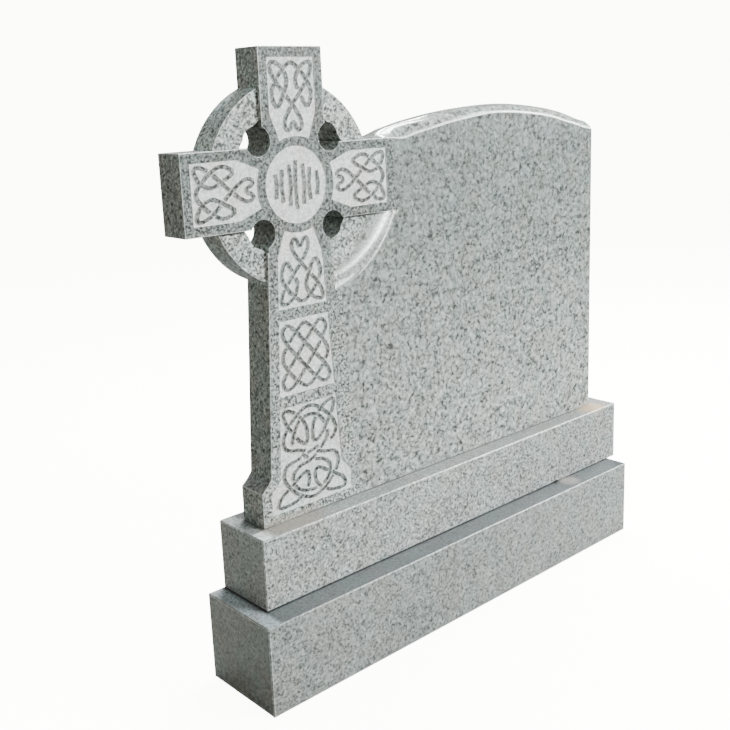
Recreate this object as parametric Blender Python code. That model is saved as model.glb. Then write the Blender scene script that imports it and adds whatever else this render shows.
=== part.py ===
"""Celtic cross headstone with a curved-top tablet, standing on a plinth and a base.

The headstone is one carved slab: a ringed cross at the left, a tablet at the right.
Metres, +Z up. The origin is the middle of the base's underside, and the carved face looks
along -Y. The headstone's own frame has x = 0 on the cross's axis, y = 0 on its front face
and z = 0 at its foot.
"""

import math

import bmesh
import bpy
from mathutils import Vector

JOINT_GAP = 0.0003
CUT_MARGIN = 0.02

BASE_LENGTH = 1.665
BASE_DEPTH = 0.292
BASE_HEIGHT = 0.267

PLINTH_LENGTH = 1.650
PLINTH_DEPTH = 0.2115
PLINTH_HEIGHT = 0.210
PLINTH_LEFT_LEDGE = 0.0548
PLINTH_FRONT_LEDGE = 0.0778

BLOCK_ARRIS = 0.0020

CHIP_FROM_PLINTH_LEFT = 1.224
CHIP_LENGTH = 0.075
CHIP_HEIGHT = 0.009
CHIP_DEPTH = 0.012

SLAB_THICKNESS = 0.100
SLAB_LEFT_LEDGE = 0.0512
SLAB_FRONT_LEDGE = 0.062

CROSS_HEIGHT = 0.943
ARM_WIDTH = 0.212
ARM_REACH = 0.3615
SHAFT_TAPER = 0.058
FOOT_REACH = 0.181
FOOT_HEIGHT = 0.1028
FOOT_CURVE_TOP = 0.138
FOOT_CURVE_HOLLOW = 1.25

RING_OUTER = 0.279
RING_INNER = 0.204
RING_RECESS = 0.011
COVE_REACH_AT_ARM = 0.138
COVE_REACH_AT_SHAFT = 0.032
COVE_OVERRUN = math.radians(5.0)
NOTCH_RADIUS = 0.0395
NOTCH_OFFSET = 0.121

TABLET_LENGTH = 1.3387
TABLET_VALLEY_DROP = 0.0055
TABLET_CREST_RISE = 0.0605
ARM_SHOULDER = 0.027
CROWN_RIDGE_RISE = 0.079
CROWN_START = 0.010
CROWN_FULLNESS = 0.8
CROWN_CROWDING = 1.4

CARVING_DEPTH = 0.003
STRAND_WIDTH = 0.0104
STRAND_GAP = 0.0022
PANEL_HALF_WIDTH = 0.079
PANEL_END_BORDER = 0.0275
PANEL_SIDES_FROM_AXIS = 0.190
PANEL_NECK_HALF_WIDTH = 0.051
MEDALLION_RADIUS = 0.1045
MEDALLION_BORDER = 0.0245

SHAFT_BORDER = 0.033
UPPER_RAIL = 0.032
LOWER_RAIL = 0.035
LOWER_PANEL_BOTTOM = 0.028
LOWER_PANEL_SHARE = 0.5875
LOWER_PANEL_KINK = 0.127
LOWER_PANEL_FLARE_TOP = 0.090
LOWER_PANEL_BOTTOM_HALF_WIDTH = 0.149
PLAIT_COLUMNS = 3
PLAIT_ROWS = 3
PLAIT_INSET = 0.42

STROKE_COUNT = 7
STROKE_PITCH = 0.0235
STROKE_LENGTH = 0.132
STROKE_SHORTENING = 0.022
STROKE_BOW = 0.004

ARC_STEP = math.radians(7.0)
CROWN_ROWS = 6
TOP_STATIONS = 30
COVE_RINGS = 5
COVE_STEPS = 18
FOOT_CURVE_STEPS = 4
STRAND_SAMPLES = 3

HALF_ARM = ARM_WIDTH / 2
BORDER_OUTER = MEDALLION_RADIUS + MEDALLION_BORDER

# Every arm's panel ends at one distance from the cross's centre, the shaft's first one too.
# The two panels below share the rest of the shaft between them.
PANEL_END = ARM_REACH - PANEL_END_BORDER
SHAFT_PANEL_BOTTOM = CROSS_HEIGHT - PANEL_END
MIDDLE_PANEL_TOP = SHAFT_PANEL_BOTTOM - UPPER_RAIL
LOWER_PANELS_HEIGHT = MIDDLE_PANEL_TOP - LOWER_RAIL - LOWER_PANEL_BOTTOM
LOWER_PANEL_TOP = LOWER_PANEL_BOTTOM + LOWER_PANEL_SHARE * LOWER_PANELS_HEIGHT
MIDDLE_PANEL_BOTTOM = LOWER_PANEL_TOP + LOWER_RAIL

# The tablet's front top edge: share of its length from the valley, share of the crest's rise
TABLET_TOP = (
    (0.0, 0.0),
    (0.087, 0.28),
    (0.25, 0.69),
    (0.46, 1.0),
    (0.72, 0.68),
    (0.92, 0.0),
    (1.0, -0.30),
)

# The ridge of the oval crown: share of its length from the ring, share of the ridge's rise
CROWN_RIDGE = (
    (0.0, 0.0),
    (0.06, 0.31),
    (0.13, 0.53),
    (0.25, 0.765),
    (0.36, 0.905),
    (0.50, 1.0),
    (0.61, 0.975),
    (0.735, 0.825),
    (0.86, 0.56),
    (1.0, 0.055),
)

# One closed strand on a grid six units wide, counted from the panel's outer end, from
# which the medallion's border is ARM_KNOT_ROOM units away
ARM_KNOT = (
    (1.97, 5.95),
    (1.94, 5.40),
    (2.30, 4.80),
    (3.00, 4.00),
    (4.00, 3.00),
    (5.00, 2.00),
    (5.53, 1.10),
    (5.52, 0.52),
    (4.95, 0.45),
    (4.00, 1.00),
    (3.55, 2.00),
    (4.00, 3.00),
    (4.90, 4.25),
    (5.52, 3.10),
    (5.00, 2.00),
    (4.00, 1.00),
    (3.00, 0.45),
    (2.00, 1.00),
    (1.00, 2.00),
    (0.48, 3.10),
    (1.10, 4.25),
    (2.00, 3.00),
    (2.45, 2.00),
    (2.00, 1.00),
    (1.05, 0.45),
    (0.48, 0.52),
    (0.47, 1.10),
    (1.00, 2.00),
    (2.00, 3.00),
    (3.00, 4.00),
    (3.70, 4.80),
    (4.06, 5.40),
    (4.03, 5.95),
    (3.72, 6.22),
    (3.42, 6.04),
    (3.25, 5.68),
    (3.00, 5.52),
    (2.75, 5.68),
    (2.58, 6.04),
    (2.28, 6.22),
)
ARM_KNOT_ROOM = 6.721

# The lower panel's strands, as percentages of its half width at the top and of its height
OUTER_EIGHT = (
    (0, 96.5),
    (-35, 92.5),
    (-74, 81),
    (-94, 69),
    (-83, 59.5),
    (-47, 56.3),
    (0, 51.7),
    (47, 47),
    (87, 43.5),
    (98, 33),
    (79, 21),
    (45, 11),
    (0, 5.5),
)
INNER_EIGHT = (
    (0, 88),
    (-34, 84.5),
    (-55, 74),
    (-63, 63),
    (-40, 53.5),
    (0, 43.2),
    (41, 40),
    (67, 32),
    (59, 21),
    (34, 15),
    (0, 13),
)
UPPER_LEAF = (
    (-88, 97),
    (-58, 94.7),
    (-28, 86),
    (-12, 76),
    (-9.5, 66),
    (-17, 60.5),
    (-34, 63.5),
    (-54, 70.5),
    (-70, 78.5),
    (-86, 88),
)
LOWER_LEAF = (
    (-120, 5.5),
    (-88, 4.8),
    (-56, 7),
    (-28, 13.5),
    (-13, 20.5),
    (-11, 28.5),
    (-19, 33),
    (-36, 31),
    (-58, 26.5),
    (-88, 20),
    (-114, 14),
)


def clear_scene():
    for obj in list(bpy.data.objects):
        bpy.data.objects.remove(obj, do_unlink=True)


def granite(name, colour, roughness):
    material = bpy.data.materials.new(name)
    material.use_nodes = True
    shader = material.node_tree.nodes["Principled BSDF"]
    shader.inputs["Base Color"].default_value = (*colour, 1.0)
    shader.inputs["Roughness"].default_value = roughness
    shader.inputs["Metallic"].default_value = 0.0
    return material


def add_mesh(name, verts, faces):
    mesh = bpy.data.meshes.new(name)
    mesh.from_pydata(verts, [], faces)
    mesh.update()
    obj = bpy.data.objects.new(name, mesh)
    bpy.context.scene.collection.objects.link(obj)
    return obj


def face_outward(obj):
    """Turns all faces of a one-piece solid outward."""
    edit = bmesh.new()
    edit.from_mesh(obj.data)
    bmesh.ops.recalc_face_normals(edit, faces=edit.faces)
    if edit.calc_volume(signed=True) < 0.0:
        bmesh.ops.reverse_faces(edit, faces=edit.faces)
    edit.to_mesh(obj.data)
    edit.free()
    return obj


def counterclockwise(outline):
    area = sum(a[0] * b[1] - b[0] * a[1] for a, b in zip(outline, outline[1:] + outline[:1]))
    return outline if area > 0.0 else outline[::-1]


def loft(name, rows, depths):
    """Closed solid through one counterclockwise outline of (x, z) points per depth."""
    count = len(rows[0])
    last = count * (len(rows) - 1)
    verts = [(x, depth, z) for row, depth in zip(rows, depths) for x, z in row]
    faces = [tuple(range(count)), tuple(reversed(range(last, last + count)))]
    for start in range(0, last, count):
        for i in range(count):
            j = (i + 1) % count
            faces.append((start + i, start + count + i, start + count + j, start + j))
    return add_mesh(name, verts, faces)


def prisms(name, outlines, front, back):
    """One object holding a prism for each outline; the prisms don't touch each other."""
    verts = []
    faces = []
    for outline in outlines:
        points = counterclockwise(outline)
        start = len(verts)
        count = len(points)
        verts += [(x, front, z) for x, z in points]
        verts += [(x, back, z) for x, z in points]
        faces.append(tuple(range(start, start + count)))
        faces.append(tuple(reversed(range(start + count, start + 2 * count))))
        for i in range(count):
            j = (i + 1) % count
            faces.append((start + i, start + count + i, start + count + j, start + j))
    return add_mesh(name, verts, faces)


def cut(target, cutter):
    modifier = target.modifiers.new("Cut " + cutter.name, "BOOLEAN")
    modifier.operation = "DIFFERENCE"
    modifier.object = cutter
    cutter.parent = target
    cutter.hide_render = True
    cutter.display_type = "WIRE"


def arc(centre, radius, start, end):
    """Points of an arc, both ends included, angles in radians."""
    steps = max(2, math.ceil(abs(end - start) / ARC_STEP))
    angles = [start + (end - start) * i / steps for i in range(steps + 1)]
    return [(centre[0] + radius * math.cos(a), centre[1] + radius * math.sin(a)) for a in angles]


def hermite(p0, p1, p2, p3, t):
    """Catmull-Rom point between p1 and p2."""
    return tuple(
        0.5
        * (
            2 * b
            + (c - a) * t
            + (2 * a - 5 * b + 4 * c - d) * t**2
            + (3 * b - a - 3 * c + d) * t**3
        )
        for a, b, c, d in zip(p0, p1, p2, p3)
    )


def smooth_loop(points, per_span):
    """Closed smooth curve through points. No sample falls on a given point, since strands
    cross there, and a crossing has to lie within two straight pieces."""
    count = len(points)
    loop = []
    for i in range(count):
        near = [points[(i + k) % count] for k in (-1, 0, 1, 2)]
        loop += [hermite(*near, (k + 0.5) / per_span) for k in range(per_span)]
    return loop


def curve_height(points, share):
    """Height of a smooth curve through points, at a share of its length."""
    share = min(max(share, 0.0), 1.0)
    last = len(points) - 2
    i = next((k for k in range(last + 1) if share <= points[k + 1][0]), last)
    t = (share - points[i][0]) / (points[i + 1][0] - points[i][0])
    heights = [points[min(max(k, 0), last + 1)][1:] for k in (i - 1, i, i + 1, i + 2)]
    return hermite(*heights, t)[0]


def smooth_step(value):
    value = min(max(value, 0.0), 1.0)
    return value * value * (3.0 - 2.0 * value)


def shaft_half_width(z):
    return HALF_ARM + SHAFT_TAPER * (CROSS_HEIGHT - HALF_ARM - z)


def ring_shaft_drop(radius):
    """Depth below the cross's centre at which a circle meets the tapering shaft's edge."""
    near = HALF_ARM * (1.0 - SHAFT_TAPER)
    square = 1.0 + SHAFT_TAPER**2
    root = math.sqrt((SHAFT_TAPER * near) ** 2 - square * (near**2 - radius**2))
    return (root - SHAFT_TAPER * near) / square


def tablet_front_height(x):
    """Height of the tablet's front top edge, from the shoulder beyond the arm to its end."""
    arm_top = CROSS_HEIGHT + HALF_ARM
    start = ARM_REACH + ARM_SHOULDER
    share = (x - start) / (TABLET_LENGTH - start)
    if share < 0.0:
        drop = smooth_step((x - ARM_REACH + ARM_SHOULDER / 2) / (1.5 * ARM_SHOULDER))
        return arm_top - TABLET_VALLEY_DROP * drop
    return arm_top - TABLET_VALLEY_DROP + TABLET_CREST_RISE * curve_height(TABLET_TOP, share)


def crown_rise(x, across):
    """How far the oval crown stands above the front edge; across runs from 0 to 1."""
    start = RING_OUTER + CROWN_START
    share = (x - start) / (TABLET_LENGTH - start)
    ridge = CROSS_HEIGHT + HALF_ARM + CROWN_RIDGE_RISE * curve_height(CROWN_RIDGE, share)
    bulge = math.sin(math.pi * across) ** CROWN_FULLNESS
    return max(ridge - tablet_front_height(x), 0.0) * bulge


def headstone_outline(across):
    """Front view outline, from the foot's left corner round by the right."""
    start_x = RING_OUTER + CROWN_START
    top = []
    for i in range(TOP_STATIONS):
        share = (1.0 - i / (TOP_STATIONS - 1)) ** CROWN_CROWDING
        x = start_x + (TABLET_LENGTH - start_x) * share
        top.append((x, tablet_front_height(x) + crown_rise(x, across)))
    centre = (0.0, CROSS_HEIGHT)
    join = math.asin(HALF_ARM / RING_OUTER)
    drop = ring_shaft_drop(RING_OUTER)
    shaft_join = math.pi + math.asin(drop / RING_OUTER)
    points = [(-FOOT_REACH, 0.0), (TABLET_LENGTH, 0.0)]
    points += top
    points += arc(centre, RING_OUTER, join, math.pi / 2 - join)
    points += [(HALF_ARM, CROSS_HEIGHT + ARM_REACH), (-HALF_ARM, CROSS_HEIGHT + ARM_REACH)]
    points += arc(centre, RING_OUTER, math.pi / 2 + join, math.pi - join)
    points += [(-ARM_REACH, CROSS_HEIGHT + HALF_ARM), (-ARM_REACH, CROSS_HEIGHT - HALF_ARM)]
    points += arc(centre, RING_OUTER, math.pi + join, shaft_join)
    points += foot_curve()
    return points


def foot_curve():
    """The hollow by which the shaft's edge runs out to the foot."""
    inner = -shaft_half_width(FOOT_CURVE_TOP)
    points = []
    for i in range(FOOT_CURVE_STEPS + 1):
        share = i / FOOT_CURVE_STEPS
        x = inner + (-FOOT_REACH - inner) * share**FOOT_CURVE_HOLLOW
        z = FOOT_CURVE_TOP + (FOOT_HEIGHT - FOOT_CURVE_TOP) * share
        points.append((x, z))
    return points


def recess_outlines():
    """The ring's front stands back in the three quadrants that are open all round."""
    reach = RING_OUTER + CROWN_START / 2
    near = HALF_ARM
    low = CROSS_HEIGHT - HALF_ARM
    bottom = CROSS_HEIGHT - reach
    upper_left = [(-reach, near), (-near, near), (-near, reach), (-reach, reach)]
    upper_right = [(near, near), (reach, near), (reach, reach), (near, reach)]
    outlines = [[(x, CROSS_HEIGHT + z) for x, z in quad] for quad in (upper_left, upper_right)]
    left_of_shaft = [
        (-reach, low),
        (-reach, bottom),
        (-shaft_half_width(bottom), bottom),
        (-shaft_half_width(low), low),
    ]
    outlines.append(left_of_shaft)
    return outlines


def cove_cutter():
    """A shallow bowl: the ring's plane, then a hollow rising to the tablet's face."""
    rings = COVE_RINGS
    steps = COVE_STEPS
    lowest = -math.pi / 2 - COVE_OVERRUN
    rows = []
    for i in range(steps + 1):
        angle = lowest * (1.0 - i / steps)
        share = min(max(-angle / (math.pi / 2), 0.0), 1.0)
        reach = COVE_REACH_AT_ARM + (COVE_REACH_AT_SHAFT - COVE_REACH_AT_ARM) * share
        row = []
        for k in range(rings + 1):
            radius = RING_OUTER + reach * k / rings
            depth = RING_RECESS * (1.0 - (k / rings) ** 2)
            row.append((radius * math.cos(angle), depth, CROSS_HEIGHT + radius * math.sin(angle)))
        rows.append(row)
    verts = [(0.0, RING_RECESS, CROSS_HEIGHT), (0.0, -CUT_MARGIN, CROSS_HEIGHT)]
    for row in rows:
        verts += row
        verts.append((row[-1][0], -CUT_MARGIN, row[-1][2]))
    stride = rings + 2
    faces = []
    for i in range(steps):
        a = 2 + i * stride
        b = a + stride
        faces.append((0, a, b))
        faces.append((1, a + rings + 1, b + rings + 1))
        for k in range(rings + 1):
            faces.append((a + k, a + k + 1, b + k + 1, b + k))
    for start in (2, 2 + steps * stride):
        faces.append((0, *range(start, start + stride), 1))
    return face_outward(add_mesh("cove cutter", verts, faces))


def cross_guard():
    """Shaft and right arm, which the cove leaves standing."""
    left = -HALF_ARM
    low = CROSS_HEIGHT - HALF_ARM
    bottom = CROSS_HEIGHT - RING_OUTER - 2 * COVE_REACH_AT_ARM
    reach = RING_OUTER + 2 * COVE_REACH_AT_ARM
    top = CROSS_HEIGHT + CUT_MARGIN
    outline = [
        (left, top),
        (left, bottom),
        (shaft_half_width(bottom), bottom),
        (shaft_half_width(low), low),
        (reach, low),
        (reach, top),
    ]
    return prisms("cove guard", [outline], -2 * CUT_MARGIN, SLAB_THICKNESS)


def piercing_outline(side, level):
    """Space between ring, arm and shaft in one quadrant; side and level are -1 or 1."""
    angle = math.asin(HALF_ARM / RING_INNER)
    points = [(HALF_ARM, HALF_ARM)]
    points += arc((0.0, 0.0), RING_INNER, angle, math.pi / 2 - angle)
    return [(side * x, CROSS_HEIGHT + level * z) for x, z in points]


def pierce(slab):
    back = SLAB_THICKNESS + CUT_MARGIN
    quadrants = [(side, level) for side in (-1, 1) for level in (-1, 1)]
    gaps = [piercing_outline(side, level) for side, level in quadrants]
    cut(slab, prisms("piercings", gaps, -CUT_MARGIN, back))
    notches = []
    for side, level in quadrants:
        centre = (side * NOTCH_OFFSET, CROSS_HEIGHT + level * NOTCH_OFFSET)
        notches.append(arc(centre, NOTCH_RADIUS, 0.0, math.tau)[:-1])
    cut(slab, prisms("notches", notches, -CUT_MARGIN, back))


def crossing_of(a, b, c, d):
    """Shares along a-b and c-d at which they cross, and the sine of the angle, or None."""
    r = (b[0] - a[0], b[1] - a[1])
    s = (d[0] - c[0], d[1] - c[1])
    turn = r[0] * s[1] - r[1] * s[0]
    if abs(turn) < 1e-12:
        return None
    t = ((c[0] - a[0]) * s[1] - (c[1] - a[1]) * s[0]) / turn
    u = ((c[0] - a[0]) * r[1] - (c[1] - a[1]) * r[0]) / turn
    if not (0.0 <= t < 1.0 and 0.0 <= u < 1.0):
        return None
    return t, u, abs(turn) / (math.hypot(*r) * math.hypot(*s))


def find_crossings(loops):
    """Pairs of passes; a pass is (loop, place along it in points), with the angle's sine."""
    segments = []
    for n, loop in enumerate(loops):
        for i in range(len(loop)):
            segments.append((n, i, loop[i], loop[(i + 1) % len(loop)]))
    pairs = []
    for k, (n, i, a, b) in enumerate(segments):
        for m, j, c, d in segments[k + 2 :]:
            if n == m and (j + 1) % len(loops[n]) == i:
                continue
            hit = crossing_of(a, b, c, d)
            if hit:
                pairs.append(((n, i + hit[0]), (m, j + hit[1]), hit[2]))
    return pairs


def passes_under(loops, pairs):
    """Weave: each strand goes over and under in turn, and one pass of each pair is under."""
    partner = {}
    for first, second, _sine in pairs:
        partner[first] = second
        partner[second] = first
    order = [sorted(p for p in partner if p[0] == n) for n in range(len(loops))]
    after = {}
    for row in order:
        for i, place in enumerate(row):
            after[place] = row[(i + 1) % len(row)]
    under = {}
    for row in order:
        if not row or row[0] in under:
            continue
        waiting = [(row[0], False)]
        while waiting:
            place, state = waiting.pop()
            if place in under:
                continue
            under[place] = state
            waiting.append((partner[place], not state))
            waiting.append((after[place], not state))
    return under


def loop_point(loop, place):
    i = math.floor(place)
    share = place - i
    a = loop[i % len(loop)]
    b = loop[(i + 1) % len(loop)]
    return (a[0] + (b[0] - a[0]) * share, a[1] + (b[1] - a[1]) * share)


def walk(loop, place, distance):
    """Place reached from a place on a loop after a distance, which may be negative."""
    step = 1 if distance > 0 else -1
    left = abs(distance)
    here = place
    while True:
        edge = math.floor(here) + 1 if step > 0 else math.ceil(here) - 1
        span = math.dist(loop_point(loop, here), loop_point(loop, edge))
        if span >= left:
            return here + (edge - here) * left / span
        left -= span
        here = edge


def strand_runs(loops):
    """Centre lines of the strands, broken where they pass under another."""
    pairs = find_crossings(loops)
    under = passes_under(loops, pairs)
    cuts = [[] for _ in loops]
    for first, second, sine in pairs:
        place = first if under[first] else second
        cosine = math.sqrt(max(0.0, 1.0 - sine**2))
        half = (STRAND_WIDTH / 2 * (1.0 + cosine) + STRAND_GAP) / max(sine, 0.4)
        loop = loops[place[0]]
        cuts[place[0]].append((walk(loop, place[1], -half), walk(loop, place[1], half)))
    runs = []
    for loop, spans in zip(loops, cuts):
        spans.sort()
        for k, (_start, end) in enumerate(spans):
            stop = spans[k + 1][0] if k + 1 < len(spans) else spans[0][0] + len(loop)
            inner = [float(i) for i in range(math.floor(end) + 1, math.ceil(stop))]
            places = [end] + [i for i in inner if 0.3 < i - end and 0.3 < stop - i] + [stop]
            if stop - end > 0.4:
                runs.append([loop_point(loop, p) for p in places])
    return runs


def ribbon(run):
    """Outline of a strand with square ends, from its centre line; tight bends are kept open."""
    sides = ([], [])
    last = len(run) - 1
    for i, point in enumerate(run):
        along = (Vector(run[min(i + 1, last)]) - Vector(run[max(i - 1, 0)])).normalized()
        across = Vector((-along.y, along.x)) * (STRAND_WIDTH / 2)
        for side, offset in zip(sides, (across, -across)):
            corner = Vector(point) + offset
            if side and (corner - side[-1]).dot(along) < STRAND_WIDTH / 8:
                if i == last:
                    side[-1] = corner
                continue
            side.append(corner)
    return [tuple(corner) for corner in sides[0] + sides[1][::-1]]


def carve(slab, name, panel, ribbons):
    """Sinks a panel into the face and leaves the ribbons standing at the face's level."""
    pocket = prisms(name + " pocket", [panel], -CUT_MARGIN, CARVING_DEPTH)
    cut(pocket, prisms(name + " strands", ribbons, -2 * CUT_MARGIN, CARVING_DEPTH + CUT_MARGIN))
    cut(slab, pocket)


def arm_panel(outer_half_width):
    """Panel of an arm in (outward, across), with its inner side round the medallion."""
    neck_angle = math.asin(PANEL_NECK_HALF_WIDTH / BORDER_OUTER)
    points = [
        (PANEL_END, -outer_half_width),
        (PANEL_END, outer_half_width),
        (PANEL_SIDES_FROM_AXIS, PANEL_HALF_WIDTH),
    ]
    points += arc((0.0, 0.0), BORDER_OUTER, neck_angle, -neck_angle)
    points.append((PANEL_SIDES_FROM_AXIS, -PANEL_HALF_WIDTH))
    return points


def arm_knot(outer_half_width):
    """The knot of an arm in (outward, across), widening to the panel's outer end."""
    grid_half = 3.0
    pitch = (PANEL_END - BORDER_OUTER) / ARM_KNOT_ROOM
    points = []
    for across, along in ARM_KNOT:
        out = PANEL_END - along * pitch
        share = min(max((out - PANEL_SIDES_FROM_AXIS) / (PANEL_END - PANEL_SIDES_FROM_AXIS), 0), 1)
        half = PANEL_HALF_WIDTH + (outer_half_width - PANEL_HALF_WIDTH) * share
        points.append((out, (across / grid_half - 1.0) * half))
    return points


def carve_arms(slab):
    """Head, left arm, right arm and the shaft's first panel carry the same knot, turned."""
    shaft_half = shaft_half_width(SHAFT_PANEL_BOTTOM) - SHAFT_BORDER
    ways = (
        ("head", (0, 1), PANEL_HALF_WIDTH),
        ("left arm", (-1, 0), PANEL_HALF_WIDTH),
        ("right arm", (1, 0), PANEL_HALF_WIDTH),
        ("upper shaft", (0, -1), shaft_half),
    )
    for name, (dx, dz), half in ways:
        panel = [
            (out * dx - across * dz, CROSS_HEIGHT + out * dz + across * dx)
            for out, across in arm_panel(half)
        ]
        loop = [
            (out * dx - across * dz, CROSS_HEIGHT + out * dz + across * dx)
            for out, across in smooth_loop(arm_knot(half), STRAND_SAMPLES)
        ]
        carve(slab, name, panel, [ribbon(run) for run in strand_runs([loop])])


def plait_loops(columns, rows, inset):
    """Closed strands of a plain plait on a grid, turning back at its four sides."""
    width = 2 * columns
    height = 2 * rows
    seen = set()
    loops = []
    for start in range(1, width, 2):
        if (start, 0, 1, 1) in seen:
            continue
        x, z, dx, dz = start, 0, 1, 1
        loop = []
        while (x, z, dx, dz) not in seen:
            seen.add((x, z, dx, dz))
            seen.add((x, z, -dx if z in (0, height) else dx, -dz if x in (0, width) else dz))
            inner_x = min(max(x, inset), width - inset)
            inner_z = min(max(z, inset), height - inset)
            loop.append((inner_x, inner_z))
            x += dx
            z += dz
            dx = -dx if x in (0, width) else dx
            dz = -dz if z in (0, height) else dz
        loops.append(loop)
    return loops


def carve_middle(slab):
    top = MIDDLE_PANEL_TOP
    bottom = MIDDLE_PANEL_BOTTOM
    top_half = shaft_half_width(top) - SHAFT_BORDER
    bottom_half = shaft_half_width(bottom) - SHAFT_BORDER
    panel = [(-bottom_half, bottom), (bottom_half, bottom), (top_half, top), (-top_half, top)]
    loops = []
    for loop in plait_loops(PLAIT_COLUMNS, PLAIT_ROWS, PLAIT_INSET):
        points = []
        for across, up in smooth_loop(loop, STRAND_SAMPLES):
            share = up / (2 * PLAIT_ROWS)
            half = bottom_half + (top_half - bottom_half) * share
            x = (across / PLAIT_COLUMNS - 1.0) * half
            points.append((x, bottom + (top - bottom) * share))
        loops.append(points)
    carve(slab, "middle shaft", panel, [ribbon(run) for run in strand_runs(loops)])


def carve_lower(slab):
    """Two figures of eight, one within the other, and four leaves with their tips outside."""
    top = LOWER_PANEL_TOP
    bottom = LOWER_PANEL_BOTTOM
    top_half = shaft_half_width(top) - SHAFT_BORDER
    kink_half = shaft_half_width(LOWER_PANEL_KINK) - SHAFT_BORDER
    foot_half = LOWER_PANEL_BOTTOM_HALF_WIDTH
    right = [
        (foot_half, bottom),
        (foot_half, LOWER_PANEL_FLARE_TOP),
        (kink_half, LOWER_PANEL_KINK),
        (top_half, top),
    ]
    panel = right + [(-x, z) for x, z in reversed(right)]
    eights = []
    for half in (OUTER_EIGHT, INNER_EIGHT):
        eights.append(list(half) + [(-x, z) for x, z in reversed(half[1:-1])])
    leaves = [UPPER_LEAF, [(-x, z) for x, z in UPPER_LEAF]]
    leaves += [LOWER_LEAF, [(-x, z) for x, z in LOWER_LEAF]]
    loops = []
    for loop in eights + leaves:
        points = smooth_loop(loop, STRAND_SAMPLES)
        loops.append(
            [(x / 100 * top_half, bottom + (top - bottom) * z / 100) for x, z in points]
        )
    carve(slab, "lower shaft", panel, [ribbon(run) for run in strand_runs(loops)])


def carve_medallion(slab):
    """A sunk disc with a row of plain upright strokes, which are no letters."""
    disc = arc((0.0, CROSS_HEIGHT), MEDALLION_RADIUS, 0.0, math.tau)[:-1]
    strokes = []
    for k in range(STROKE_COUNT):
        place = k - (STROKE_COUNT - 1) / 2
        x = place * STROKE_PITCH
        half = STROKE_LENGTH / 2 - STROKE_SHORTENING * abs(place) / 2
        bow = STROKE_BOW * (-1) ** k
        run = [
            (x, CROSS_HEIGHT - half),
            (x + bow, CROSS_HEIGHT),
            (x, CROSS_HEIGHT + half),
        ]
        strokes.append(ribbon(run))
    carve(slab, "medallion", disc, strokes)


def build_headstone(location):
    depths = [SLAB_THICKNESS * k / CROWN_ROWS for k in range(CROWN_ROWS + 1)]
    rows = [headstone_outline(k / CROWN_ROWS) for k in range(CROWN_ROWS + 1)]
    slab = loft("headstone", rows, depths)
    edit = bmesh.new()
    edit.from_mesh(slab.data)
    bmesh.ops.dissolve_limit(
        edit, angle_limit=math.radians(0.05), verts=edit.verts, edges=edit.edges
    )
    edit.to_mesh(slab.data)
    edit.free()
    cut(slab, prisms("ring recess", recess_outlines(), -CUT_MARGIN, RING_RECESS))
    cove = cove_cutter()
    cut(cove, cross_guard())
    cut(slab, cove)
    pierce(slab)
    carve_arms(slab)
    carve_middle(slab)
    carve_lower(slab)
    carve_medallion(slab)
    slab.location = location
    slab.data.materials.append(granite("carved granite", (0.42, 0.43, 0.42), 0.45))
    return slab


def block(name, length, depth, height, corner):
    """A sawn block with a small arris, placed by its left front lower corner."""
    outline = [(0.0, 0.0), (length, 0.0), (length, height), (0.0, height)]
    obj = prisms(name, [outline], 0.0, depth)
    bevel = obj.modifiers.new("Arris", "BEVEL")
    bevel.width = BLOCK_ARRIS
    bevel.segments = 1
    obj.location = corner
    return obj


def build_base():
    base = block(
        "base",
        BASE_LENGTH,
        BASE_DEPTH,
        BASE_HEIGHT,
        (-BASE_LENGTH / 2, -BASE_DEPTH / 2, 0.0),
    )
    base.data.materials.append(granite("base granite", (0.46, 0.47, 0.47), 0.55))


def build_plinth(corner):
    plinth = block("plinth", PLINTH_LENGTH, PLINTH_DEPTH, PLINTH_HEIGHT, corner)
    left = CHIP_FROM_PLINTH_LEFT
    right = left + CHIP_LENGTH
    verts = [
        (left, -CUT_MARGIN, -CUT_MARGIN),
        (right, -CUT_MARGIN, -CUT_MARGIN),
        (right, CHIP_DEPTH, -CUT_MARGIN),
        (left, -CUT_MARGIN, 0.0),
        (right, -CUT_MARGIN, CHIP_HEIGHT),
        (right, CHIP_DEPTH, CHIP_HEIGHT / 3),
    ]
    faces = [(0, 1, 2), (3, 4, 5), (0, 1, 4, 3), (1, 2, 5, 4), (2, 0, 3, 5)]
    cut(plinth, face_outward(add_mesh("chip", verts, faces)))
    plinth.data.materials.append(granite("plinth granite", (0.46, 0.47, 0.47), 0.5))


def main():
    clear_scene()
    build_base()
    plinth_corner = Vector(
        (
            -BASE_LENGTH / 2 + PLINTH_LEFT_LEDGE,
            -BASE_DEPTH / 2 + PLINTH_FRONT_LEDGE,
            BASE_HEIGHT + JOINT_GAP,
        )
    )
    build_plinth(plinth_corner)
    foot_left = Vector((SLAB_LEFT_LEDGE, SLAB_FRONT_LEDGE, PLINTH_HEIGHT + JOINT_GAP))
    build_headstone(plinth_corner + foot_left + Vector((FOOT_REACH, 0.0, 0.0)))


main()
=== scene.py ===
"""A Celtic cross headstone of light grey granite with its curved-top tablet, on two base blocks."""

import math

import bmesh
import bpy
from mathutils import Matrix, Vector


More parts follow.
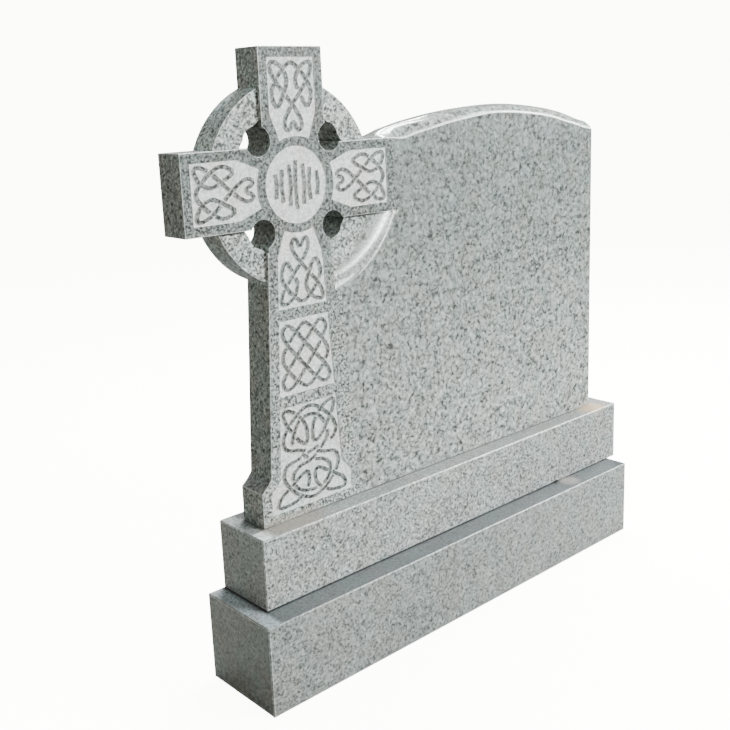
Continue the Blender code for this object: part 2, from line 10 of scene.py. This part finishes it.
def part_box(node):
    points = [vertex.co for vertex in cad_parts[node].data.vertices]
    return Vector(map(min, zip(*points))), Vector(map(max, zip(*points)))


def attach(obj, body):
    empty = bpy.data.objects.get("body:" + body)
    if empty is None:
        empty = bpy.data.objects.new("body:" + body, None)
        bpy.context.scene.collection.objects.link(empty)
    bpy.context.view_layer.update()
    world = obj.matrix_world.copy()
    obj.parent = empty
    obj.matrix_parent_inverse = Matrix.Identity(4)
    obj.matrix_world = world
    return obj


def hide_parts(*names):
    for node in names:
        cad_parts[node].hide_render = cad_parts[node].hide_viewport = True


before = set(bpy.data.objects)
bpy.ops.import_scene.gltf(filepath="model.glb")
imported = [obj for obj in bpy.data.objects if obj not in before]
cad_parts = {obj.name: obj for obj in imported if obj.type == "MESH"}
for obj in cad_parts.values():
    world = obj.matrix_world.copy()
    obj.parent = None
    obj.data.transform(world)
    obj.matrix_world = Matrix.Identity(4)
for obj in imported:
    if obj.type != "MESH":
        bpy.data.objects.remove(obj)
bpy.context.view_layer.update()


# Camera. It stands at eye height, left of the stone's front corner, and looks a little
# down on it. The small shift lets the picture reach below the eye's level line.
EYE = Vector((-2.2113, -2.1341, 1.6437))
HEADING = math.radians(41.394)
DOWNWARD = math.radians(12.974)
ROLL = math.radians(-2.361)

forward = Vector(
    (
        math.sin(HEADING) * math.cos(DOWNWARD),
        math.cos(HEADING) * math.cos(DOWNWARD),
        -math.sin(DOWNWARD),
    )
)
level_right = forward.cross(Vector((0.0, 0.0, 1.0))).normalized()
level_up = level_right.cross(forward)
picture_right = level_right * math.cos(ROLL) + level_up * math.sin(ROLL)
picture_up = level_up * math.cos(ROLL) - level_right * math.sin(ROLL)
lens = bpy.data.cameras.new("view")
lens.sensor_width = 36.0
lens.lens = 48.945
lens.shift_x = 0.0051
lens.shift_y = -0.0536
view = bpy.data.objects.new("view", lens)
turn = Matrix((picture_right, picture_up, -forward)).transposed()
view.matrix_world = Matrix.Translation(EYE) @ turn.to_4x4()
bpy.context.collection.objects.link(view)
bpy.context.scene.camera = view


# Studio. A pale floor and an even white room. The lamps stand at the right, in front, at the
# end and overhead, so that the stone's left sides stay in shade. The four named glints are
# only seen in the polish and light nothing.
def soft_light(name, place, aim, width, height, watts):
    """A rectangular softbox that faces the point it is aimed at."""
    data = bpy.data.lights.new(name, "AREA")
    data.shape = "RECTANGLE"
    data.size = width
    data.size_y = height
    data.energy = watts
    data.color = (0.97, 1.0, 1.0)
    lamp = bpy.data.objects.new(name, data)
    lamp.location = place
    lamp.rotation_euler = (Vector(aim) - Vector(place)).to_track_quat("-Z", "Y").to_euler()
    bpy.context.collection.objects.link(lamp)
    return lamp


soft_light("front_softbox", (3.0, -5.4, 3.3), (0.0, 0.0, 0.8), 3.0, 2.2, 760.0)
for name, place in [("near", (1.9, 1.0, 5.0)), ("far", (1.9, 2.0, 4.8))]:
    soft_light(f"overhead_strip_{name}", place, (0.1, 0.1, 1.0), 1.9, 0.20, 225.0)
end_light = soft_light("end_softbox", (5.0, 0.3, 4.4), (0.0, 0.0, 1.2), 2.4, 2.0, 260.0)
end_light.visible_glossy = False
GLINTS_AIM = (0.2, 0.0, 1.3)
for name, place, width, height, watts in [
    ("crown_glint", (3.6, -0.8, 3.8), 1.2, 2.2, 340.0),
    ("ledge_glint", (3.0, -1.7, 2.7), 1.6, 1.2, 420.0),
    ("ring_glint", (-1.5, -2.2, 4.8), 1.0, 1.0, 260.0),
    ("cove_glint", (1.75, -3.5, 0.85), 0.20, 0.7, 115.0),
]:
    glint = soft_light(name, place, GLINTS_AIM, width, height, watts)
    glint.visible_diffuse = False


def camera_share(tree, seen, unseen):
    """Mixes two shaders, the first for what the camera sees and the second as light."""
    rays = tree.nodes.new("ShaderNodeLightPath")
    mix = tree.nodes.new("ShaderNodeMixShader")
    tree.links.new(rays.outputs["Is Camera Ray"], mix.inputs[0])
    tree.links.new(unseen.outputs[0], mix.inputs[1])
    tree.links.new(seen.outputs[0], mix.inputs[2])
    return mix


room = bpy.data.worlds.new("room")
room.use_nodes = True
room_light = room.node_tree.nodes["Background"]
room_light.inputs["Color"].default_value = (1.0, 1.0, 0.96, 1.0)
room_light.inputs["Strength"].default_value = 0.36
room_seen = room.node_tree.nodes.new("ShaderNodeBackground")
room_seen.inputs["Color"].default_value = (1.0, 1.0, 0.94, 1.0)
room_seen.inputs["Strength"].default_value = 12.0
room_mix = camera_share(room.node_tree, room_seen, room_light)
room.node_tree.links.new(room_mix.outputs[0], room.node_tree.nodes["World Output"].inputs[0])
bpy.context.scene.world = room

bpy.ops.object.select_all(action="DESELECT")
bpy.ops.mesh.primitive_circle_add(vertices=96, radius=40.0, fill_type="NGON")
floor = bpy.context.object
floor.name = "floor"
paper = bpy.data.materials.new("studio_floor")
paper.use_nodes = True
paper_tree = paper.node_tree
paper_shade = paper_tree.nodes["Principled BSDF"]
paper_shade.inputs["Base Color"].default_value = (0.36, 0.36, 0.34, 1.0)
paper_shade.inputs["Roughness"].default_value = 1.0
paper_shade.inputs["Specular IOR Level"].default_value = 0.0
paper_lit = paper_tree.nodes.new("ShaderNodeBsdfDiffuse")
paper_lit.inputs["Color"].default_value = (1.6, 1.6, 1.56, 1.0)
paper_glow = paper_tree.nodes.new("ShaderNodeEmission")
paper_glow.inputs["Color"].default_value = (1.0, 1.0, 0.94, 1.0)
paper_glow.inputs["Strength"].default_value = 11.2
paper_seen = paper_tree.nodes.new("ShaderNodeAddShader")
paper_tree.links.new(paper_lit.outputs[0], paper_seen.inputs[0])
paper_tree.links.new(paper_glow.outputs[0], paper_seen.inputs[1])
paper_mix = camera_share(paper_tree, paper_seen, paper_shade)
paper_tree.links.new(paper_mix.outputs[0], paper_tree.nodes["Material Output"].inputs[0])
floor.data.materials.append(paper)


# Base. The lower block, sawn from light grey granite, its front and ends honed and the ledge
# round the plinth darker, with painted shade on the left side and at the plinth's foot. The
# arrises are eased by hand. It lies on the ground.
class Shade:
    """A socket in a material's node tree, so that shader maths reads as arithmetic."""

    def __init__(self, tree, socket=None):
        self.tree = tree
        self.socket = socket

    def node(self, kind, settings=None, inputs=None, output=0):
        made = self.tree.nodes.new(kind)
        for name, value in (settings or {}).items():
            setattr(made, name, value)
        for name, value in (inputs or {}).items():
            if isinstance(value, Shade):
                self.tree.links.new(value.socket, made.inputs[name])
            else:
                made.inputs[name].default_value = value
        return Shade(self.tree, made.outputs[output])

    def math(self, operation, *values):
        return self.node("ShaderNodeMath", {"operation": operation}, dict(enumerate(values)))

    def __add__(self, other):
        return self.math("ADD", self, other)

    def __sub__(self, other):
        return self.math("SUBTRACT", self, other)

    def __rsub__(self, other):
        return self.math("SUBTRACT", other, self)

    def __mul__(self, other):
        return self.math("MULTIPLY", self, other)

    __radd__ = __add__
    __rmul__ = __mul__

    def __abs__(self):
        return self.math("ABSOLUTE", self)

    def ramp(self, low, high):
        """0 at low and 1 at high, smooth between them."""
        return self.node(
            "ShaderNodeMapRange",
            {"interpolation_type": "SMOOTHSTEP"},
            {"Value": self, "From Min": low, "From Max": high},
        )

    def noise(self, scale, detail=2.0, output=0):
        """Noise on this place."""
        return self.node(
            "ShaderNodeTexNoise", {}, {"Vector": self, "Scale": scale, "Detail": detail}, output
        )

    def mixed(self, share, other):
        """This colour, turned into the other one by the share."""
        return self.node("ShaderNodeMix", {"data_type": "RGBA"}, {0: share, 6: self, 7: other}, 2)

    def toned(self, share, tone):
        """This colour, multiplied by a tone by the share."""
        settings = {"data_type": "RGBA", "blend_type": "MULTIPLY"}
        return self.node("ShaderNodeMix", settings, {0: share, 6: self, 7: (*tone, 1.0)}, 2)

    def vector(self, operation, inputs, output=0):
        settings = {"operation": operation}
        return self.node("ShaderNodeVectorMath", settings, {0: self, **inputs}, output)

    def length(self):
        return self.vector("LENGTH", {}, "Value")

    def along(self, axis):
        """One coordinate, X, Y or Z, of this vector."""
        return self.node("ShaderNodeSeparateXYZ", {}, {"Vector": self}, axis)

    def larger(self, other):
        return self.math("MAXIMUM", self, other)

    def facing(self):
        """The direction that the surface faces."""
        return self.node("ShaderNodeNewGeometry", {}, {}, "Normal")


def patch(place, centre, reach):
    """1 at the centre of a ragged oval patch and 0 beyond its reach along x, y and z."""
    offset = place.vector("SUBTRACT", {1: centre})
    scaled = offset.vector("DIVIDE", {1: reach})
    inside = 1.0 - scaled.length().ramp(0.35, 1.0)
    return inside * place.noise(60.0, 3.0).ramp(0.20, 0.52)


def granite(
    name, dark, pale, roughness, contrast=1.0, grit=0.0, gloss=0.5, grains=None, stains_and_painted_light=None
):
    """Granite of feldspar, quartz and mica. The function grains gives the grains' fineness and
    contrast by place; the other one changes the colour by place: stains, painted light and shade."""
    material = bpy.data.materials.new(name)
    material.use_nodes = True
    tree = material.node_tree
    shader = tree.nodes["Principled BSDF"]
    place = Shade(tree).node("ShaderNodeTexCoord", output="Object")
    sawn = 1.0 - abs(place.facing().along("Y")).ramp(0.30, 0.75)
    fineness, contrast = grains(place) if grains else (1.0, contrast)
    fine = place.vector("SCALE", {"Scale": fineness})
    depth = (1.0 - sawn * 0.45) * contrast
    bends = fine.noise(95.0, 1.0, "Color")
    bent = bends.vector("MULTIPLY_ADD", {1: (0.012, 0.012, 0.012), 2: fine})
    cell = place.node("ShaderNodeTexVoronoi", {}, {"Vector": bent, "Scale": 190.0}, "Color")
    grain = place.node("ShaderNodeSeparateColor", {}, {"Color": cell})
    crystals = (bent.noise(124.0, 2.0) - 0.5) * 2.4
    specks = (grain - 0.5) * 0.42 + (fine.noise(420.0, 1.0) - 0.5) * 0.5
    mica = bent.noise(78.0, 1.0).ramp(0.67, 0.74) * 0.42
    level = (crystals + specks - mica) * depth + (place.noise(4.2, 3.0) - 0.5) * 0.22 + 0.43
    share = level.node("ShaderNodeClamp", {}, {"Value": level})
    colour = place.node("ShaderNodeMix", {"data_type": "RGBA"}, {0: share, 6: dark, 7: pale}, 2)
    drift = place.noise(11.0, 2.0)
    colour = colour.toned(drift.ramp(0.50, 0.64), (1.0, 0.955, 0.94))
    colour = colour.toned(1.0 - drift.ramp(0.38, 0.50), (0.95, 1.0, 1.0))
    if stains_and_painted_light:
        colour = stains_and_painted_light(place, colour)
    tree.links.new(colour.socket, shader.inputs["Base Color"])
    dullness = (1.0 - share) * 0.10 + roughness
    tree.links.new(dullness.socket, shader.inputs["Roughness"])
    shader.inputs["Specular IOR Level"].default_value = gloss
    if grit:
        pits = place.noise(420.0, 3.0)
        relief = {"Height": pits, "Distance": grit, "Strength": 0.6}
        rough = place.node("ShaderNodeBump", {}, relief)
        tree.links.new(rough.socket, shader.inputs["Normal"])
    return material


GRANITE_DARK = (0.048, 0.055, 0.051, 1.0)
GRANITE_PALE = (0.60, 0.635, 0.62, 1.0)
# The eased arrises' granite is far paler than the faces': a painted highlight along the edges.
ARRIS_HIGHLIGHT_DARK = (0.30, 0.32, 0.31, 1.0)
ARRIS_HIGHLIGHT_PALE = (0.93, 0.96, 0.95, 1.0)
ARRIS_SLOT = 1
BLOCK_ARRIS = 0.0028
# The colour of a painted shadow at the plinth's chip, in the chip and on the ledge below it.
CHIP_SHADOW = (0.05, 0.05, 0.05)


def merged_copy(node, name):
    """A copy of a solid whose loose triangles are joined at their shared corners."""
    bpy.ops.object.select_all(action="DESELECT")
    stone = bpy.data.objects.new(name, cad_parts[node].data.copy())
    bpy.context.collection.objects.link(stone)
    bpy.context.view_layer.objects.active = stone
    stone.select_set(True)
    bpy.ops.object.mode_set(mode="EDIT")
    bpy.ops.mesh.select_all(action="SELECT")
    bpy.ops.mesh.remove_doubles(threshold=0.00002)
    bpy.ops.mesh.select_all(action="DESELECT")
    bpy.ops.object.mode_set(mode="OBJECT")
    bpy.ops.mesh.customdata_custom_splitnormals_clear()
    stone.data.materials.clear()
    return stone


def ease_arrises(stone, width, sharpest, wanted=lambda edge: True):
    """Rounds the wanted outward edges that turn by more than the given angle, in degrees, and
    keeps the result inside the stone's box."""
    bpy.ops.object.mode_set(mode="EDIT")
    bpy.ops.mesh.select_mode(type="EDGE")
    mesh = bmesh.from_edit_mesh(stone.data)
    extents = [[vertex.co[axis] for vertex in mesh.verts] for axis in range(3)]
    low, high = [min(e) for e in extents], [max(e) for e in extents]
    for edge in mesh.edges:
        outward = edge.is_manifold and edge.is_convex and wanted(edge)
        edge.select = outward and edge.calc_face_angle() > math.radians(sharpest)
    bmesh.update_edit_mesh(stone.data)
    bpy.ops.mesh.bevel(offset=width, segments=2, clamp_overlap=False, material=ARRIS_SLOT)
    mesh = bmesh.from_edit_mesh(stone.data)
    for vertex in mesh.verts:
        vertex.co = [min(max(c, least), most) for c, least, most in zip(vertex.co, low, high)]
    bmesh.update_edit_mesh(stone.data)
    bpy.ops.object.mode_set(mode="OBJECT")


def beside(place, node, reach):
    """1 against the foot of the solid that stands here, and 0 at the given reach from it."""
    low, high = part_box(node)
    x = place.along("X")
    outside = (low.x - x).larger(x - high.x).larger(low.y - place.along("Y"))
    return 1.0 - outside.ramp(0.0, reach)


def soft_shading(stone):
    """Smooth shading across the eased arrises alone, so that flat faces stay flat."""
    bpy.ops.object.shade_smooth_by_angle(angle=math.radians(34.0))
    weighted = stone.modifiers.new("even_shading", "WEIGHTED_NORMAL")
    weighted.keep_sharp = True
    weighted.weight = 100
    bpy.ops.object.modifier_apply(modifier=weighted.name)


def shade_undersides(place, colour):
    """Painted shade on the arrises that face down, where the joints are."""
    return colour.toned(1.0 - place.facing().along("Z").ramp(-0.45, -0.05), (0.08, 0.085, 0.085))


def left_side(place):
    """1 on the faces that look to the left."""
    return 1.0 - place.facing().along("X").ramp(-0.95, -0.8)


def base_stains_and_painted_light(place, colour):
    """Painted shade on the left side and along the plinth's foot, a darker ledge, painted light on
    the left ledge, a paler patch and a painted shadow by the chip.
    """
    # Painted shade: the faces that look left are darkened.
    colour = colour.toned(left_side(place), (0.86, 0.87, 0.83))
    upward = place.facing().along("Z").ramp(0.90, 0.97)
    colour = colour.toned(upward, (0.36, 0.395, 0.42))
    # Painted shade: a dark band on the ledge along the plinth's foot.
    colour = colour.toned(upward * beside(place, "plinth", 0.009), (0.25, 0.26, 0.26))
    # Painted light: the left ledge is made lighter.
    left_ledge = upward * (1.0 - place.along("X").ramp(-0.80, -0.775))
    colour = colour.toned(left_ledge, (4.5, 4.5, 4.6))
    fresh = patch(place, (0.555, -0.095, 0.267), (0.048, 0.05, 0.02))
    colour = colour.mixed(fresh, (0.33, 0.305, 0.29, 1.0))
    # Painted shadow: a dark spot on the ledge by the chip.
    hollow = patch(place, (0.505, -0.074, 0.267), (0.020, 0.014, 0.01))
    return colour.toned(hollow, CHIP_SHADOW)


base = merged_copy("base", "base_block")
base.data.materials.append(
    granite("base_honed", GRANITE_DARK, GRANITE_PALE, 0.34, 0.75, stains_and_painted_light=base_stains_and_painted_light)
)
# Its arrises: paler granite as a painted highlight, with painted shade where they face down.
base.data.materials.append(
    granite("base_arris", ARRIS_HIGHLIGHT_DARK, ARRIS_HIGHLIGHT_PALE, 0.2, 0.9, stains_and_painted_light=shade_undersides)
)
ease_arrises(base, BLOCK_ARRIS, 30.0)
soft_shading(base)
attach(base, "root")
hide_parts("base")


# Plinth. The upper block, of a slightly paler granite, sawn and honed. It is bedded on the
# base a little to the right, past the base's end, and its lower front arris has a chip.
PLINTH_DARK = (0.060, 0.068, 0.064, 1.0)
PLINTH_PALE = (0.76, 0.80, 0.785, 1.0)


def plinth_stains_and_painted_light(place, colour):
    """Painted shade on the left side and at the headstone's foot, painted light on the left ledge,
    a darker right end, two stains and a painted shadow in the chip.
    """
    # Painted shade: the faces that look left are darkened.
    colour = colour.toned(left_side(place), (0.76, 0.77, 0.735))
    colour = colour.toned(place.along("X").ramp(-0.1, 0.7), (0.87, 0.87, 0.88))
    upward = place.facing().along("Z").ramp(0.90, 0.97)
    # Painted shade: a dark band on the top along the headstone's foot.
    colour = colour.toned(upward * beside(place, "headstone", 0.008), (0.30, 0.31, 0.31))
    # Painted light: the left ledge is made lighter.
    left_ledge = upward * (1.0 - place.along("X").ramp(-0.75, -0.72))
    colour = colour.toned(left_ledge, (3.5, 3.5, 3.5))
    tan = patch(place, (-0.64, -0.03, 0.477), (0.15, 0.055, 0.02))
    colour = colour.mixed(tan * 0.6, (0.44, 0.37, 0.30, 1.0))
    yellow = patch(place, (0.765, -0.035, 0.477), (0.085, 0.065, 0.02))
    colour = colour.mixed(yellow, (0.62, 0.47, 0.31, 1.0))
    # Painted shadow: a dark spot in the chip.
    hollow = patch(place, (0.508, -0.066, 0.270), (0.020, 0.012, 0.009))
    return colour.toned(hollow, CHIP_SHADOW)


plinth = merged_copy("plinth", "plinth_block")
plinth.data.materials.append(
    granite("plinth_honed", PLINTH_DARK, PLINTH_PALE, 0.30, 0.95, stains_and_painted_light=plinth_stains_and_painted_light)
)
# Its arrises: paler granite as a painted highlight, with painted shade where they face down.
plinth.data.materials.append(
    granite("plinth_arris", ARRIS_HIGHLIGHT_DARK, ARRIS_HIGHLIGHT_PALE, 0.2, 0.9, stains_and_painted_light=shade_undersides)
)
ease_arrises(plinth, BLOCK_ARRIS, 30.0)
soft_shading(plinth)
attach(plinth, "root")
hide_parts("plinth")


# Headstone. Cross, ring and tablet, carved from one slab. Its faces have dulled, only the
# crown and the hollow round the ring still shine. The knotwork's grounds and the medallion
# are sunk 3 mm and left frosted, which makes the strands look dark.
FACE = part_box("headstone")[0].y
CARVING = 0.003
CROSS_AXIS = -0.5455
CROSS_CENTRE = 1.4206
HALF_ARM = 0.106
SHAFT_SLOPE = 0.062
RING_RADIUS = 0.279
RING_DEPTH = 0.011
GAP_OFFSET = 0.121
GAPS_REACH = 0.212
STRANDS_SLOT = 3
POLISHED_SLOT = 4


def at_depths(face, depths):
    """Whether all corners of a face lie at one of the depths behind the carved face."""
    return all(any(abs(v.co.y - FACE - d) < 0.00005 for d in depths) for v in face.verts)


def keep_faces(stone, wanted):
    """Deletes, in edit mode, all faces that aren't wanted."""
    bpy.ops.mesh.select_mode(type="FACE")
    mesh = bmesh.from_edit_mesh(stone.data)
    for face in mesh.faces:
        face.select = not wanted(face)
    bmesh.update_edit_mesh(stone.data)
    bpy.ops.mesh.delete(type="FACE")


def face_groups(faces):
    """Sorts faces into groups that hang together."""
    left = set(faces)
    groups = []
    while left:
        group = [left.pop()]
        for face in group:
            for edge in face.edges:
                for other in edge.link_faces:
                    if other in left:
                        left.discard(other)
                        group.append(other)
        groups.append(group)
    return groups


def from_cross_centre(point):
    """How far a point of the mesh is from the middle of the cross, seen from the front."""
    return math.hypot(point.x - CROSS_AXIS, point.z - CROSS_CENTRE)


def from_centre(place):
    """The same distance in a material."""
    offset = place.vector("SUBTRACT", {1: (CROSS_AXIS, 0.0, CROSS_CENTRE)})
    return offset.vector("MULTIPLY", {1: (1.0, 0.0, 1.0)}).length()


def headstone_grains(place):
    """Coarse, soft grains on the tablet and on the back, and finer, stronger ones on the cross."""
    right = place.along("X") - CROSS_AXIS
    z = place.along("Z")
    past_shaft = (right + z * SHAFT_SLOPE).ramp(0.2075, 0.2085) * (1.0 - z.ramp(1.62, 1.621))
    past_arm = abs(z - CROSS_CENTRE).ramp(0.108, 0.109).larger(right.ramp(0.364, 0.365))
    tablet = past_shaft * past_arm * from_centre(place).ramp(0.286, 0.287)
    back = place.facing().along("Y").ramp(0.5, 0.6)
    cross = (1.0 - tablet) * (1.0 - back)
    return cross * 0.38 + 0.62, cross * 0.50 + 0.84


def headstone_tones_and_painted_light(place, colour):
    """Tones of the front, strapwork and sunk fronts, painted light on the left sides, the ring's
    rim and the gaps' lower walls, painted shade in the gaps and under the right arm, a stain.
    """
    facing = place.facing()
    side = 1.0 - abs(facing.along("Y")).ramp(0.30, 0.75)
    x = place.along("X")
    z = place.along("Z")
    across = abs(x - CROSS_AXIS)
    height = abs(z - CROSS_CENTRE)
    shaft = 1.0 - (across + z * SHAFT_SLOPE).ramp(0.196, 0.208)
    arms = (1.0 - height.ramp(0.103, 0.112)) * (1.0 - across.ramp(0.352, 0.372))
    sunk = place.along("Y").ramp(FACE + 0.001, FACE + 0.004)
    front = (1.0 - side) * (1.0 - sunk)
    colour = colour.toned(front, (1.24, 1.24, 1.235))
    colour = colour.toned(front * z.ramp(0.55, 1.45), (0.575, 0.61, 0.605))
    strapwork = shaft.larger(arms) * (1.0 - sunk) * (z.ramp(0.9, 1.55) * 0.52 + 0.02)
    colour = colour.toned(strapwork, (0.50, 0.50, 0.50))
    colour = colour.toned(sunk * (1.0 - side), (1.30, 1.33, 1.32))
    # Painted light: the left sides are tinted, and lightened towards the head.
    colour = colour.toned(left_side(place), (1.02, 1.03, 0.97))
    colour = colour.toned(left_side(place) * z.ramp(1.45, 1.60), (1.32, 1.32, 1.32))
    radius = from_centre(place)
    pierced = 1.0 - radius.ramp(0.205, GAPS_REACH)
    rim = side * radius.ramp(0.27, 0.276) * (1.0 - radius.ramp(0.282, 0.288))
    # Painted light: the ring's rim is lightened where it faces up.
    colour = colour.toned(rim * facing.along("Z").ramp(-0.1, 0.3), (2.15, 2.38, 2.42))
    # Painted shade in the gaps, with painted light on their lower walls.
    colour = colour.toned(pierced * side, (0.42, 0.42, 0.41))
    below = z.math("WRAP", CROSS_CENTRE + GAP_OFFSET - z, GAP_OFFSET, -GAP_OFFSET)
    colour = colour.toned(pierced * side * below.ramp(-0.03, 0.06), (3.6, 3.7, 3.7))
    # Painted shade: a dark line on the ring and hollow just under the right arm.
    below_arm = CROSS_CENTRE - HALF_ARM - z
    shade_under_arm = below_arm.ramp(0.0, 0.001) * (1.0 - below_arm.ramp(0.0045, 0.0085))
    shade_under_arm = shade_under_arm * across.ramp(0.16, 0.17) * (1.0 - across.ramp(0.3535, 0.3615))
    shade_under_arm = shade_under_arm * (1.0 - facing.along("Y").ramp(-0.75, -0.3))
    colour = colour.toned(shade_under_arm, (0.12, 0.125, 0.125))
    tan = patch(place, (-0.64, -0.006, 0.483), (0.15, 0.05, 0.020))
    return colour.mixed(tan * 0.5, (0.42, 0.36, 0.29, 1.0))


carving = merged_copy("headstone", "carving")
bpy.ops.object.mode_set(mode="EDIT")
keep_faces(carving, lambda face: at_depths(face, (CARVING,)))
bpy.ops.mesh.select_all(action="SELECT")
bpy.ops.mesh.dissolve_limited(angle_limit=math.radians(0.5))
bpy.ops.mesh.extrude_region_move(TRANSFORM_OT_translate={"value": (0.0, -0.02, 0.0)})
bpy.ops.mesh.select_all(action="SELECT")
bpy.ops.mesh.normals_make_consistent(inside=False)
bpy.ops.object.mode_set(mode="OBJECT")

headstone = merged_copy("headstone", "carved_headstone")
bpy.ops.object.mode_set(mode="EDIT")
keep_faces(headstone, lambda face: not at_depths(face, (0.0, CARVING)))
bpy.ops.mesh.select_mode(type="EDGE")
mesh = bmesh.from_edit_mesh(headstone.data)
for edge in mesh.edges:
    edge.select = len(edge.link_faces) == 1
bmesh.update_edit_mesh(headstone.data)
bpy.ops.mesh.fill(use_beauty=True)
mesh = bmesh.from_edit_mesh(headstone.data)
# The upper right gap's back rim comes in, so that no strip of background shows through it.
for vertex in mesh.verts:
    right, up = vertex.co.x - CROSS_AXIS, vertex.co.z - CROSS_CENTRE
    at_back = vertex.co.y > 0.09 and right > GAP_OFFSET and up > 0.02
    if at_back and from_cross_centre(vertex.co) < GAPS_REACH:
        vertex.co.x -= 0.009
bmesh.update_edit_mesh(headstone.data)
bpy.ops.mesh.select_all(action="SELECT")
bpy.ops.mesh.normals_make_consistent(inside=False)
bpy.ops.mesh.dissolve_limited(angle_limit=math.radians(0.3))
bpy.ops.mesh.remove_doubles(threshold=0.0015)
bpy.ops.object.mode_set(mode="OBJECT")

WHITE = (1.0, 1.0, 1.0, 1.0)
BY_PLACE = {"grains": headstone_grains, "stains_and_painted_light": headstone_tones_and_painted_light}
frosted = granite("frosted_ground", (0.58, 0.61, 0.60, 1.0), WHITE, 0.75, 1.5, grit=0.0012)
for finish in [
    granite("dulled_granite", GRANITE_DARK, GRANITE_PALE, 0.4, gloss=0.1, **BY_PLACE),
    # The arrises: paler granite as a painted highlight, with painted shade where they face down.
    granite("stone_arris", ARRIS_HIGHLIGHT_DARK, ARRIS_HIGHLIGHT_PALE, 0.25, 0.9, stains_and_painted_light=shade_undersides),
    frosted,
    granite("strands", (0.028, 0.032, 0.030, 1.0), (0.31, 0.33, 0.32, 1.0), 0.4, 1.6, gloss=0.1),
    granite("polished_granite", GRANITE_DARK, GRANITE_PALE, 0.06, **BY_PLACE),
]:
    headstone.data.materials.append(finish)
carving.data.materials.append(frosted)


def crown_front(edge):
    """Whether an edge is part of the crown's front arris."""
    return all(v.co.x > -0.19 and v.co.z > 1.40 and v.co.y < FACE + 0.004 for v in edge.verts)


def at_gaps(edge):
    """Whether an edge is on the rim of a gap in the ring, or inside it."""
    return all(from_cross_centre(v.co) < GAPS_REACH for v in edge.verts)


def gap_rim(edge):
    """Whether an edge is on the front rim of a gap."""
    return at_gaps(edge) and all(v.co.y < FACE + RING_DEPTH + 0.001 for v in edge.verts)


def other_arris(edge):
    """Whether an edge is away from the gaps and from the crown's front arris."""
    return not at_gaps(edge) and not crown_front(edge)


for width, wanted in [(0.0045, crown_front), (0.0010, gap_rim), (0.0022, other_arris)]:
    ease_arrises(headstone, width, 35.0, wanted)
sink = headstone.modifiers.new("carving", "BOOLEAN")
sink.operation = "DIFFERENCE"
sink.object = carving
sink.material_mode = "TRANSFER"
bpy.context.view_layer.objects.active = headstone
bpy.ops.object.modifier_apply(modifier=sink.name)
bpy.data.objects.remove(carving)
headstone.select_set(True)
bpy.ops.object.mode_set(mode="EDIT")
mesh = bmesh.from_edit_mesh(headstone.data)
islands = face_groups(face for face in mesh.faces if at_depths(face, (0.0,)))
islands.sort(key=lambda group: sum(face.calc_area() for face in group))
for group in islands[:-1]:
    for face in group:
        face.material_index = STRANDS_SLOT
for face in mesh.faces:
    middle = face.calc_center_median()
    sloping = 0.0003 < middle.y - FACE < RING_DEPTH - 0.0002 and face.normal.y < -0.7
    hollow = sloping and from_cross_centre(middle) > RING_RADIUS
    crown = middle.z > 1.40 and middle.x > -0.26 and face.normal.z > 0.2
    if face.material_index == 0 and (hollow or crown):
        face.material_index = POLISHED_SLOT
bmesh.update_edit_mesh(headstone.data)
bpy.ops.object.mode_set(mode="OBJECT")
soft_shading(headstone)
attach(headstone, "root")
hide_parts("headstone")
